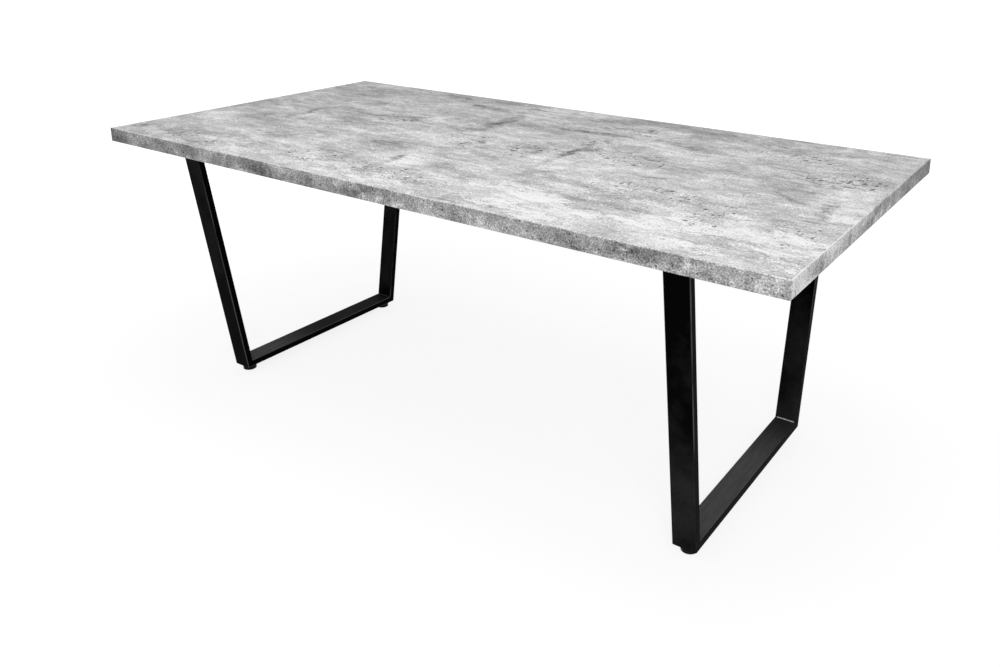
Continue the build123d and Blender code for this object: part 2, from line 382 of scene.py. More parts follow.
# Fields of air holes: middle x and y, half length, half breadth (mm), turn (degrees), how full
HOLE_FIELDS = (
    (370, 50, 150, 90, 0, 1.0),
    (130, -30, 90, 90, 0, 1.0),
    (220, 90, 50, 130, 0, 1.0),
    (880, 160, 110, 80, 0, 1.0),
    (750, -210, 60, 200, 0, 1.0),
    (-40, -390, 170, 60, 0, 1.0),
    (-290, -380, 120, 70, 0, 0.9),
    (540, -190, 170, 80, 0, 0.8),
    (-70, -30, 140, 80, 0, 0.8),
    (920, -280, 60, 90, 0, 1.0),
    (240, 330, 120, 60, 0, 0.8),
    (720, 300, 170, 60, 0, 0.8),
    (-440, 70, 120, 50, 0, 0.7),
    (-700, -420, 200, 50, 0, 0.8),
)

# Printed greys of the decor by their place on the sRGB scale
PRINT_GREYS = ("#000000", "#333333", "#5E5E5E", "#808080", "#A1A1A1", "#C2C2C2", "#E1E1E1", "#FFFFFF")

# Breadths of the top's finer noises, and how far the swirls bend the print along and across the table
SWIRL_SIZE = 60 * MM
SWIRL_REACH = (70 * MM, 44 * MM, 0)
MOTTLE_SIZE = 22 * MM
SAND_SIZE = 4.5 * MM
CRAZE_SIZE = 90 * MM

# Offset of the air holes' painted highlights, and how much paler the painted highlights along the bands'
# top edges are
HOLE_HIGHLIGHT_OFFSET = (-3 * MM, 3 * MM, 0)
ARRIS_HIGHLIGHT = 0.16

# Breadths of the noises in the powder coat
FILM_SIZE = 80 * MM
SHEEN_AND_DUST_SIZE = 240 * MM
SHEEN_STREAK_SIZE = 9 * MM


def print_colour(tree, grey):
    """Colour of the print for a grey on the sRGB scale."""
    ramp = add(tree, "ShaderNodeValToRGB", {"Fac": grey})
    stops = ramp.color_ramp.elements
    while len(stops) < len(PRINT_GREYS):
        stops.new(0.5)
    for stop, hex_grey in zip(stops, PRINT_GREYS):
        stop.position = int(hex_grey[1:3], 16) / 255
        stop.color = linear(hex_grey)
    return ramp


def weighed(tree, start, rows):
    """A value to which rows of a mask and its weight are added, one after the other."""
    total = start
    for mask, weight in rows:
        total = add(tree, MATH, (mask, weight, total), operation="MULTIPLY_ADD")
    return total


def patches(tree, spot, rows, height=0.0):
    """Sum of soft oval patches of one level face, each at its place, size and turn."""
    ovals = []
    for x, y, half_length, half_breadth, turn, weight in rows:
        oval = {
            "Vector": spot,
            "Location": (x * MM, y * MM, height),
            "Rotation": (0, 0, math.radians(turn)),
            "Scale": (half_length * MM, half_breadth * MM, 1),
        }
        laid = add(tree, MAPPING, oval, vector_type="TEXTURE")
        soft = add(tree, "ShaderNodeTexGradient", (laid,), gradient_type="SPHERICAL")
        ovals.append((soft.outputs["Fac"], weight))
    return weighed(tree, 0.0, ovals)


def air_holes(tree, spot, spacing, radius, clusters):
    """Round printed air holes of mixed sizes, where their clusters lie: 1 in a hole and 0 outside."""
    cells = {"Vector": spot, "Scale": 1 / spacing}
    cells = add(tree, "ShaderNodeTexVoronoi", cells, voronoi_dimensions="2D")
    draw = add(tree, "ShaderNodeSeparateColor", (cells.outputs["Color"],))
    largest = radius / spacing
    rim = add(tree, RANGE, {"Value": draw, "To Min": -largest, "To Max": largest})
    rim = add(tree, MATH, (rim, clusters), operation="MULTIPLY")
    rim = add(tree, MATH, (rim, 0.001), operation="MAXIMUM")
    floor = add(tree, MATH, (rim, 0.4), operation="MULTIPLY")
    wall = {"Value": cells, "From Min": rim, "From Max": floor}
    return add(tree, RANGE, wall, interpolation_type="SMOOTHSTEP")


def torn(tree, spot, breadth, stretch, start, end):
    """Torn islands of a film, with crisp uneven rims: 1 on an island and 0 beside it."""
    laid = add(tree, MAPPING, {"Vector": spot, "Scale": (1 / stretch, 1, 1)})
    noise = add(tree, NOISE, {"Vector": laid, "Scale": 1 / breadth, "Detail": 8.0, "Roughness": 0.68})
    rim = {"Value": noise, "From Min": start, "From Max": end}
    return add(tree, RANGE, rim, interpolation_type="SMOOTHSTEP")


def uneven(tree, spot, breadth, detail, smooth, dull):
    """A roughness that wanders between smooth and dull."""
    noise = add(tree, NOISE, {"Vector": spot, "Scale": 1 / breadth, "Detail": detail})
    return add(tree, RANGE, {"Value": noise, "To Min": smooth, "To Max": dull})


def concrete_laminate(decor):
    """Melamine laminate with a concrete print: matt, with clouds and trowel streaks along the table,
    chalky wisps towards the front, air holes in fields and hairlines. Painted light makes it paler
    towards the front and the right, and each air hole has a painted highlight on one side. Its underside
    is plain foil."""
    finish, tree, shader, where = new_finish("concrete laminate")
    x, y, z = add(tree, AXES, (where,)).outputs

    # Swirls that make the edges of everything uneven
    swirl = add(tree, NOISE, {"Vector": where, "Scale": 1 / SWIRL_SIZE, "Detail": 5.0})
    drift = add(tree, VECTOR_MATH, (swirl.outputs["Color"], (0.5, 0.5, 0.5)), operation="SUBTRACT")
    bent = add(tree, VECTOR_MATH, (drift, SWIRL_REACH, where), operation="MULTIPLY_ADD")

    # Noise layers: breadth, stretch along the table, detail, roughness, weight on the grey
    layers = (
        (decor.cloud_size, 1.7, 6.0, 0.55, 0.6),
        (decor.streak_width, 3.4, 5.0, 0.65, 0.34),
        (MOTTLE_SIZE, 1.25, 6.0, 0.76, 0.55),
        (SAND_SIZE, 1.0, 2.0, 0.6, 0.7),
    )
    noises = []
    for breadth, stretch, detail, roughness, weight in layers:
        laid = add(tree, MAPPING, {"Vector": bent, "Scale": (1 / stretch, 1, 1)})
        noise = {"Vector": laid, "Scale": 1 / breadth, "Detail": detail, "Roughness": roughness}
        noises.append((add(tree, NOISE, noise), weight))
    mottle, sand = [noise for noise, _ in noises[2:]]
    span = CAD_BOX[1] - CAD_BOX[0]
    # Painted light: paler towards the front and towards the right
    painted_light = [(y, -decor.painted_front_light / span.y), (x, decor.painted_right_light / span.x)]
    grey = weighed(tree, decor.top_grey - sum(weight for _, weight in noises) / 2, painted_light + noises)

    # Smears of the trowel, broken up by the mottling
    patchy = {"Value": mottle, "From Min": 0.35, "From Max": 0.65, "To Min": 2.35, "To Max": 0.65}
    smears = patches(tree, bent, SMEARS, CAD_BOX[1].z)
    grey = weighed(tree, grey, [(smears, add(tree, RANGE, patchy))])

    # Chalky wisps towards the front, with cracks along their rims, and a dark torn film everywhere
    near_front = {"Value": y, "From Min": -0.02, "From Max": -0.38, "To Min": 0.12}
    near_front = add(tree, RANGE, near_front, interpolation_type="SMOOTHSTEP")
    to_right = add(tree, RANGE, {"Value": x, "From Min": -0.9, "From Max": 0.4, "To Min": 0.35})
    gritty = add(tree, RANGE, {"Value": sand, "From Min": 0.38, "From Max": 0.6, "To Min": 0.3})
    rims = ((0.525, 0.55), (0.495, 0.5), (0.52, 0.525))
    chalk, outside, inside = [torn(tree, bent, decor.wisp_size, 2.6, *rim) for rim in rims]
    cracks = add(tree, MATH, (outside, inside), operation="SUBTRACT")
    broken = add(tree, RANGE, {"Value": mottle, "From Min": 0.47, "From Max": 0.55})
    cracks = add(tree, MATH, (cracks, broken), operation="MULTIPLY")
    for mask in (near_front, to_right, gritty):
        chalk = add(tree, MATH, (chalk, mask), operation="MULTIPLY")
        cracks = add(tree, MATH, (cracks, mask), operation="MULTIPLY")
    aside = add(tree, MAPPING, {"Vector": bent, "Location": (7.3, 2.9, 0)})
    film = torn(tree, aside, 1.5 * decor.wisp_size, 2.0, 0.53, 0.55)
    drags = torn(tree, aside, 0.5 * decor.wisp_size, 6.0, 0.57, 0.62)
    grey = weighed(tree, grey, [(chalk, 0.16), (cracks, -0.3), (film, -0.06), (drags, -0.12)])

    # Hairlines where a broad noise passes its middle value, inside the fields of air holes
    fields = patches(tree, bent, HOLE_FIELDS, CAD_BOX[1].z)
    fields = add(tree, RANGE, {"Value": fields, "From Min": 0.05, "From Max": 0.25})
    crazed = add(tree, NOISE, {"Vector": aside, "Scale": 1 / CRAZE_SIZE, "Detail": 5.0})
    line = add(tree, MATH, (crazed, 0.5, 0.008), operation="COMPARE")
    line = add(tree, MATH, (line, fields), operation="MULTIPLY")
    grey = weighed(tree, grey, [(line, -0.26)])

    # Air holes, large and small, each with a painted highlight on one side
    sparse = add(tree, MATH, (fields, 0.55), operation="MAXIMUM")
    beside = add(tree, MAPPING, {"Vector": where, "Location": HOLE_HIGHLIGHT_OFFSET})
    for spot, change in ((beside, 0.16), (where, -0.5)):
        large = air_holes(tree, spot, decor.pit_spacing, 0.28 * decor.pit_spacing, fields)
        small = air_holes(tree, spot, 0.4 * decor.pit_spacing, 0.11 * decor.pit_spacing, sparse)
        holes = add(tree, MATH, (large, small), operation="MAXIMUM")
        grey = weighed(tree, grey, [(holes, change)])

    # The print on the upper face, and foil on the others
    upper = add(tree, MATH, (z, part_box("top_board")[1].z - MM), operation="GREATER_THAN")
    foil = {"Factor": mottle, "A": decor.backing, "B": decor.backing_shade}
    foil = add(tree, MIX, foil, data_type="RGBA")
    colour = {"Factor": upper, "A": foil, "B": print_colour(tree, grey)}
    colour = add(tree, MIX, colour, data_type="RGBA")
    relief = add(tree, MATH, (holes, -1.0, sand), operation="MULTIPLY_ADD")
    bump = add(tree, BUMP, {"Height": relief, "Strength": 0.12, "Distance": 0.3 * MM})
    wire(tree, shader, {"Base Color": colour, "Normal": bump})
    wire(tree, shader, {"Roughness": 0.58, "Specular IOR Level": 0.12})
    return finish


def concrete_edge(decor, name, along, streaks, painted_back_shade):
    """Plastic edge band with the same print, cut across the sand: darker and full of specks, flecks and
    pores, with a painted highlight along its rounded top edge and, on the long bands, at their outer
    ends.
    Painted light makes it paler towards the right, and painted shade makes the end bands darker towards
    the back. End bands also have upright streaks."""
    finish, tree, shader, where = new_finish(name)
    axes = add(tree, AXES, (where,)).outputs
    height = add(tree, MATH, (axes["Z"], middle_of("front_edge_band").z), operation="SUBTRACT")
    face = add(tree, VECTOR, {"X": axes[along], "Y": height})
    upright = add(tree, MAPPING, {"Vector": face, "Scale": (1, 0.08, 1)})

    # Noise layers: coordinates, breadth, detail, weight on the grey
    layers = (
        (face, 120 * MM, 3.0, 0.8),
        (face, 34 * MM, 5.0, 0.65),
        (face, 11 * MM, 3.0, 0.45),
        (face, decor.speck_size, 1.0, 1.0),
        (upright, 14 * MM, 4.0, streaks),
    )
    # Painted shade, darker towards the back on the end bands, and painted light, paler towards the right
    rows = [(axes["Y"], -painted_back_shade), (axes["X"], decor.painted_right_light / 2)]
    for spot, breadth, detail, weight in layers:
        noise = {"Vector": spot, "Scale": 1 / breadth, "Detail": detail, "Roughness": 0.65}
        rows.append((add(tree, NOISE, noise), weight))

    # Blotches, broken up by a finer noise
    ragged = add(tree, NOISE, {"Vector": face, "Scale": 1 / (16 * MM), "Detail": 6.0, "Roughness": 0.7})
    patchy = {"Value": ragged, "From Min": 0.35, "From Max": 0.65, "To Min": 2.0, "To Max": 0.4}
    rows.append((patches(tree, face, BLOTCHES), add(tree, RANGE, patchy)))

    # Flecks, pores and specks, and painted highlights along the rounded top edges and the long bands'
    # outer ends
    rows.append((torn(tree, face, 26 * MM, 1.4, 0.57, 0.63), 0.17))
    rows.append((air_holes(tree, face, 17 * MM, 3.6 * MM, 1.0), -0.34))
    rows.append((air_holes(tree, face, 6 * MM, 1.7 * MM, 1.0), -0.2))
    high = add(tree, MATH, (axes["Z"], CAD_BOX[1].z - decor.highlight_width), operation="GREATER_THAN")
    rows.append((high, ARRIS_HIGHLIGHT))
    if not streaks:
        outward = add(tree, MATH, (axes["X"],), operation="ABSOLUTE")
        corner = add(tree, MATH, (outward, CAD_BOX[1].x - decor.highlight_width), operation="GREATER_THAN")
        rows.append((corner, ARRIS_HIGHLIGHT))
    grey = weighed(tree, decor.edge_grey - sum(weight for *_, weight in layers) / 2, rows)
    wire(tree, shader, {"Base Color": print_colour(tree, grey), "Roughness": 0.55})
    return finish


def powder_coat(steel):
    """Matt black powder coat on steel: a very dark film with a faint orange peel, which is drawn
    coarser than the real one so that it shows, and broad dusty patches that also paint a sheen: left off
    the faces that look sideways, and leaning to the bottom of the right frame and the top of the left
    one.
    A painted highlight runs along the tubes' corners, and a painted sheen with fine lengthwise streaks
    lies on the upper faces of the floor rails, most towards the front."""
    finish, tree, shader, where = new_finish("powder coated steel")
    x, y, z = add(tree, AXES, (where,)).outputs
    facing = add(tree, AXES, (add(tree, COORDINATES).outputs["Normal"],)).outputs
    peel = add(tree, NOISE, {"Vector": where, "Scale": 1 / steel.grit, "Detail": 2.0})
    bump = add(tree, BUMP, {"Height": peel, "Strength": 0.16, "Distance": 0.15 * MM})
    rough = uneven(tree, where, FILM_SIZE, 4.0, 0.44, 0.58)

    # Dusty patches, which also paint a sheen, on the broad faces: low on the right frame and high on the
    # left one
    sideways = add(tree, MATH, (facing["X"], facing["X"]), operation="MULTIPLY")
    onward = add(tree, MATH, (1.0, sideways), operation="SUBTRACT")
    low = add(tree, MATH, (middle_of("right_front_post").z, z), operation="SUBTRACT")
    sheen_lean = add(tree, MATH, (low, x), operation="MULTIPLY")
    sheen_and_dust = add(tree, NOISE, {"Vector": where, "Scale": 1 / SHEEN_AND_DUST_SIZE, "Detail": 5.0, "Roughness": 0.6})
    sheen_and_dust = weighed(tree, sheen_and_dust, [(sheen_lean, 0.65)])
    grain = {"Value": peel, "From Min": 0.3, "From Max": 0.7, "To Min": 0.5, "To Max": 1.5}
    grain = add(tree, MATH, (add(tree, RANGE, grain), onward), operation="MULTIPLY")
    dust_and_sheen_mask = add(tree, RANGE, {"Value": sheen_and_dust, "From Min": 0.43, "From Max": 0.75, "To Max": grain})

    # A patchy painted highlight along the round corners: on a round corner the normal is part sideways
    # and part not, and the product of both parts is large
    corner = add(tree, MATH, (sideways, onward), operation="MULTIPLY")
    patchy = add(tree, RANGE, {"Value": sheen_and_dust, "From Min": 0.56, "From Max": 0.4, "To Min": 0.1})
    corner_highlight_mask = add(tree, RANGE, {"Value": corner, "From Min": 0.03, "From Max": 0.14, "To Max": patchy})

    # A painted sheen with fine lengthwise streaks on what looks up, on the left rail less far back than
    # on the right one
    brushed = add(tree, MAPPING, {"Vector": where, "Scale": (1, 0.12, 1)})
    lines = add(tree, NOISE, {"Vector": brushed, "Scale": 1 / SHEEN_STREAK_SIZE, "Detail": 5.0})
    strength = add(tree, RANGE, {"Value": lines, "From Min": 0.3, "From Max": 0.65, "To Min": 0.7})
    top_sheen = {"Value": facing["Z"], "From Min": 0.8, "From Max": 0.98, "To Max": strength}
    top_sheen = add(tree, RANGE, top_sheen)
    back = weighed(tree, y, [(x, -0.18)])
    sheen_forward = {"Value": back, "From Min": 0.14, "From Max": -0.1, "To Min": 0.15}
    sheen_forward = add(tree, RANGE, sheen_forward, interpolation_type="SMOOTHSTEP")
    rail_sheen_mask = add(tree, MATH, (top_sheen, sheen_forward), operation="MULTIPLY")

    # Over the coat: dusty patches with painted sheen, painted corner highlights and the painted sheen on
    # the rails
    colour = steel.coat
    for mask, paler in ((dust_and_sheen_mask, steel.dust_and_sheen), (corner_highlight_mask, steel.highlit), (rail_sheen_mask, steel.rail_sheen)):
        colour = add(tree, MIX, {"Factor": mask, "A": colour, "B": paler}, data_type="RGBA")
    wire(tree, shader, {"Base Color": colour, "Normal": bump})
    wire(tree, shader, {"Roughness": rough, "Specular IOR Level": 0.01})
    return finish


def weld_highlight(steel):
    """Weld bead in an inner corner, with a painted highlight: pale metal, a little scaly, on the right
    frame's beads, while the left frame's beads take the dusty colour of the powder coat."""
    finish, tree, shader, where = new_finish("bare steel weld")
    rough = uneven(tree, where, 3 * MM, 4.0, 0.25, 0.5)
    axes = add(tree, AXES, (where,)).outputs
    # Painted highlight: pale on the right frame, the powder coat's dusty colour on the left
    highlit_frame = add(tree, RANGE, {"Value": axes["X"], "From Min": -0.1, "From Max": 0.1})
    colour = add(tree, MIX, {"Factor": highlit_frame, "A": steel.dust_and_sheen, "B": steel.weld}, data_type="RGBA")
    wire(tree, shader, {"Base Color": colour, "Roughness": rough, "Metallic": 1.0})
    return finish


def zinc_plate(hardware):
    """Bright zinc plating on steel: a cool grey metal, a little cloudy."""
    finish, tree, shader, where = new_finish("zinc plated steel")
    rough = uneven(tree, where, 4 * MM, 3.0, 0.22, 0.42)
    wire(tree, shader, {"Base Color": hardware.zinc, "Roughness": rough, "Metallic": 1.0})
    return finish


def moulded_plastic(name, colour, smooth, dull, gloss):
    """Injection moulded polyethylene: black, with a faint flow texture between smooth and dull."""
    finish, tree, shader, where = new_finish(name)
    rough = uneven(tree, where, 6 * MM, 3.0, smooth, dull)
    wire(tree, shader, {"Base Color": colour, "Roughness": rough, "Specular IOR Level": gloss})
    return finish


def finish_of(name):
    """A finish that several pieces share, made when it is first asked for."""
    if name not in bpy.data.materials:
        look = bpy.context.scene.dining_table
        makers = {
            "powder coated steel": lambda: powder_coat(look.steel),
            "zinc plated steel": lambda: zinc_plate(look.hardware),
            "bare steel weld": lambda: weld_highlight(look.steel),
            "moulded foot plastic": lambda: moulded_plastic(name, look.feet.pad, 0.1, 0.2, 0.1),
            "moulded plug plastic": lambda: moulded_plastic(name, look.feet.plug, 0.4, 0.55, 0.4),
        }
        makers[name]()
    return bpy.data.materials[name]


# Shapes

# Radius of the small flat end where a turned piece closes on its axis
POLE = 0.02 * MM

# Profile of a foot pad: rings of its flat base from the rim inwards, roundings, dome and pocket
BASE_INSETS = (3.5 * MM, 2 * MM)
BASE_ROUND = 1.2 * MM
DOME_HEIGHT = 0.6 * MM
MOUTH_INSET = 0.9 * MM
MOUTH_ROUND = 0.5 * MM
POCKET_HEIGHT = 2.3 * MM

# Profile of a stud: flange, hexagon and thread
STUD_FLANGE_HEIGHT = 1.7 * MM
STUD_FLANGE_BEVEL = 0.3 * MM
HEX_HEIGHT = 2.2 * MM
HEX_BEVEL = 0.35 * MM
ROWS_PER_PITCH = 12
CREST_SLOPE = 1.2

# Rounding of the plugs' and caps' edges, and the angles up to which a face is flat and an edge blunt
PLUG_ROUND = 0.6 * MM
FLAT_ANGLE = math.radians(1)
SHARP_ANGLE = math.radians(40)

# Weld beads: points for one ripple, and the ripple's height as a share of the bead's radius
POINTS_PER_RIPPLE = 6.0
RIPPLE_SHARE = 0.1

# How far the solids of a fastener run into each other, and the head's chamfer as a share of its flats
OVERLAP = 0.5 * MM
CHAMFER_SHARE = 0.49


def turned(name, centre, rows, finish, segments=48):
    """A piece turned about an upright axis from rows of height and radius, from pole to pole. A radius
    may be a function of the angle."""
    shape = bmesh.new()
    rings = []
    for height, radius in rows:
        ring = []
        for step in range(segments):
            angle = math.tau * step / segments
            reach = radius(angle) if callable(radius) else radius
            spot = (centre.x + reach * math.cos(angle), centre.y + reach * math.sin(angle), height)
            ring.append(shape.verts.new(spot))
        rings.append(ring)
    for lower, upper in zip(rings, rings[1:]):
        for step in range(segments):
            after = (step + 1) % segments
            shape.faces.new((lower[step], lower[after], upper[after], upper[step]))
    shape.faces.new(reversed(rings[0]))
    shape.faces.new(rings[-1])
    return to_mesh(shape, name, finish)


def arc_rows(centre_radius, centre_height, size, start, end, steps=6):
    """Rows of a turned piece along an arc of its profile, between two angles in degrees."""
    angles = [math.radians(start + (end - start) * step / steps) for step in range(steps + 1)]
    return [(centre_height + size * math.sin(a), centre_radius + size * math.cos(a)) for a in angles]


def pad_rows(feet, low, high, floor):
    """Rows of a foot pad: a flat base, round rims, a bore, and a pocket for the stud's flange."""
    radius = (high.x - low.x) / 2
    rim = feet.pad_rim
    bore = feet.stud_radius + feet.clearance
    pocket = feet.stud_flange + feet.clearance
    ceiling = floor + POCKET_HEIGHT
    rows = [(low.z, POLE), *[(low.z, radius - inset) for inset in BASE_INSETS]]
    rows += arc_rows(radius - BASE_ROUND, low.z + BASE_ROUND, BASE_ROUND, -70, 0)
    rows += arc_rows(radius - rim, high.z - rim - DOME_HEIGHT, rim, 0, 78)
    rows += arc_rows(bore + MOUTH_INSET, high.z - MOUTH_ROUND, MOUTH_ROUND, 84, 180)
    rows += [(ceiling, bore), (ceiling, pocket), (floor, pocket), (floor, POLE)]
    return rows


def hexagon(flats):
    """Radius by angle of a hexagon, from its width across flats."""
    return lambda angle: flats / 2 / math.cos((angle % (math.pi / 3)) - math.pi / 6)


def thread_radius(height, radius, depth, pitch, fade):
    """Radius by angle of a right-handed thread at one height."""

    def reach(angle):
        place_in_turn = (height / pitch - angle / math.tau) % 1
        crest = 1 - abs(2 * place_in_turn - 1)
        return radius - depth + depth * fade * min(1, CREST_SLOPE * crest)

    return reach


def stud_rows(feet, low, high, hex_low):
    """Rows of a stud: a flange, a neck, a chamfered hexagon and a thread that fades out at both ends."""
    bottom, top = low.z, high.z
    flange, neck = feet.stud_flange, feet.stud_radius
    pitch, depth = feet.thread_pitch, feet.thread_depth
    flange_top = bottom + STUD_FLANGE_HEIGHT
    bevel = STUD_FLANGE_BEVEL
    hex_high = hex_low + HEX_HEIGHT
    flats = high.y - low.y
    wide = hexagon(flats)
    narrow = flats / 2
    rows = [(bottom, POLE), (bottom, flange - bevel), (bottom + bevel, flange)]
    rows += [(flange_top - bevel, flange), (flange_top, flange - bevel), (flange_top, neck)]
    rows += [(hex_low, neck), (hex_low, narrow), (hex_low + HEX_BEVEL, wide)]
    rows += [(hex_high - HEX_BEVEL, wide), (hex_high, narrow), (hex_high, neck - depth)]
    steps = round((top - hex_high) / pitch * ROWS_PER_PITCH)
    for step in range(1, steps):
        height = hex_high + (top - hex_high) * step / steps
        fade = min(1, (top - height) / pitch, (height - hex_high) / pitch)
        rows.append((height, thread_radius(height, neck, depth, pitch, fade)))
    rows += [(top, neck - depth), (top, POLE)]
    return rows


def points_mesh(name, points, edges=()):
    """A mesh of loose points or edges, for a tree to work on."""
    mesh = bpy.data.meshes.new(name)
    mesh.from_pydata([tuple(point) for point in points], edges, [])
    return mesh


def plate_outline(leg, corner, steps=5):
    """Outline of a post where it meets its plate, with round corners."""
    low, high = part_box(f"{leg}_post")
    centre = middle_of(f"{leg}_leg_plate")
    centre.z = high.z
    reach_x = (high.x - low.x) / 2 - corner
    reach_y = max(abs(low.y), abs(high.y)) - abs(centre.y) - corner
    points = []
    for quarter, (sign_x, sign_y) in enumerate(((1, 1), (-1, 1), (-1, -1), (1, -1))):
        for step in range(steps):
            angle = (quarter + step / (steps - 1)) * math.pi / 2
            across = sign_x * reach_x + corner * math.cos(angle)
            along = sign_y * reach_y + corner * math.sin(angle)
            points.append(centre + Vector((across, along, 0)))
    return points


def plate_paths(corner):
    """Edges along the welds round the tops of the posts."""
    points, edges = [], []
    for leg in LEGS:
        ring = plate_outline(leg, corner)
        first = len(points)
        edges += [(first + i, first + (i + 1) % len(ring)) for i in range(len(ring))]
        points += ring
    return points_mesh("plate_paths", points, edges)


def mitre_paths(corner):
    """Edges along the welds across the inner corners of the leg frames."""
    points = []
    for side in SIDES:
        low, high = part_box(f"{side}_floor_rail")
        for row in ROWS:
            post_low, post_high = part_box(f"{side}_{row}_post")
            inner = post_high.y if row == "front" else post_low.y
            points += [Vector((x, inner, high.z)) for x in (low.x + 2 * corner, high.x - 2 * corner)]
    edges = [(first, first + 1) for first in range(0, len(points), 2)]
    return points_mesh("mitre_paths", points, edges)


def weld_tree():
    """A rippled bead of weld along the edges of a mesh."""
    tree, given = tree_inputs("weld bead", ("Bead Radius", "Ripple"))
    curve = add(tree, "GeometryNodeMeshToCurve", {"Mesh": given["Geometry"]})
    step = add(tree, MATH, (given["Ripple"], POINTS_PER_RIPPLE), operation="DIVIDE")
    fine = add(tree, "GeometryNodeResampleCurve", {"Curve": curve, "Length": step}, mode="LENGTH")
    along = add(tree, "GeometryNodeSplineParameter").outputs["Length"]
    ripples = add(tree, MATH, (along, given["Ripple"]), operation="DIVIDE")
    phase = add(tree, MATH, (ripples, math.tau), operation="MULTIPLY")
    wave = add(tree, MATH, (phase,), operation="SINE")
    swell = add(tree, MATH, (wave, RIPPLE_SHARE, 1.0), operation="MULTIPLY_ADD")
    circle = {"Resolution": 12, "Radius": given["Bead Radius"]}
    ring = add(tree, "GeometryNodeCurvePrimitiveCircle", circle)
    swept = {"Curve": fine, "Profile Curve": ring, "Scale": swell, "Fill Caps": True}
    bead = add(tree, "GeometryNodeCurveToMesh", swept)
    tree_result(tree, add(tree, "GeometryNodeSetShadeSmooth", {"Geometry": bead}), given["Material"])
    return tree


def lengths_of(tree, given, rows):
    """A tree's inputs by name, and the lengths that rows of name, input and factor work out from them."""
    lengths = {socket.name: socket for socket in given}
    for name, size, factor in rows:
        lengths[name] = add(tree, MATH, (given[size], factor), operation="MULTIPLY")
    return lengths


def spread(tree, given, mesh):
    """Ends a tree with one copy of a mesh at each point."""
    points = add(tree, "GeometryNodeMeshToPoints", {"Mesh": given["Geometry"]})
    copies = add(tree, "GeometryNodeInstanceOnPoints", {"Points": points, "Instance": mesh})
    tree_result(tree, copies, given["Material"])


def bolt_tree():
    """Hexagon bolts with a flange, pointing up, each seated under one point."""
    sizes = ("Flats", "Head Height", "Flange Radius", "Flange Height", "Shank Radius", "Shank Length")
    tree, given = tree_inputs("plate bolts", sizes)
    # The head's chamfer is turned at 30 degrees from a circle almost as wide as the flats
    factors = (
        ("Corner Radius", "Flats", 1 / math.sqrt(3)),
        ("Chamfer Radius", "Flats", CHAMFER_SHARE),
        ("Chamfer Reach", "Flats", CHAMFER_SHARE + math.sqrt(3)),
        ("Head End", "Head Height", -1.0),
        ("Hexagon End", "Head Height", -1.1),
        ("Flange Rim", "Flange Radius", 0.82),
        ("Flange End", "Flange Height", -1.0),
    )
    lengths = lengths_of(tree, given, factors) | {"Shank Start": -OVERLAP}
    # Hexagon, chamfer, flange and shank: sides, turn (degrees), lower and upper radius, height, start
    rows = (
        (6, 10, "Corner Radius", "Corner Radius", "Head Height", "Hexagon End"),
        (48, 0, "Chamfer Radius", "Chamfer Reach", "Flats", "Head End"),
        (48, 0, "Flange Rim", "Flange Radius", "Flange Height", "Flange End"),
        (32, 0, "Shank Radius", "Shank Radius", "Shank Length", "Shank Start"),
    )
    solids = []
    for sides, turn, low_radius, high_radius, height, start in rows:
        cone = {
            "Vertices": sides,
            "Radius Bottom": lengths[low_radius],
            "Radius Top": lengths[high_radius],
            "Depth": lengths[height],
        }
        spot = add(tree, VECTOR, {"Z": lengths[start]})
        seat = {"Translation": spot, "Rotation": (0, 0, math.radians(turn))}
        solids.append(add(tree, TRANSFORM, {"Geometry": add(tree, CONE, cone)} | seat))
    crown = add(tree, BOOLEAN, {"Mesh 2": solids[:2]}, operation="INTERSECT", solver="EXACT")
    bolt = add(tree, BOOLEAN, {"Mesh 2": [crown, *solids[2:]]}, operation="UNION", solver="EXACT")
    spread(tree, given, bolt)
    return tree


